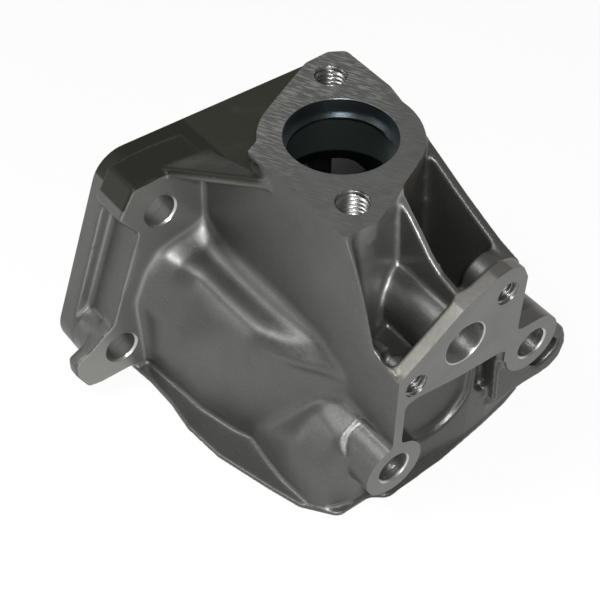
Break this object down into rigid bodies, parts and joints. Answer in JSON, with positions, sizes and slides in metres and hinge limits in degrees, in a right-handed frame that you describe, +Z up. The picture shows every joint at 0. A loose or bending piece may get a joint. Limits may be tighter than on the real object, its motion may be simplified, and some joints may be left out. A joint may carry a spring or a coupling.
{
  "type": "water pump housing",
  "caption": "Cast housing of an engine water pump: box-shaped body with a scroll, bored top flange, small end port flange and bolt bosses.",
  "frame": {"origin": "centre of the top flange's bore, on the flange's machined face", "axes": "+X square out of the end flange, away from the gasket face; +Z up, out of the top flange; +Y toward the plain back"},
  "size_m": [0.1135, 0.1314, 0.095],
  "materials": {
    "casting": "as cast, satin"
  },
  "bodies": {
    "root": {"pump_housing": "casting"}
  },
  "joints": []
}
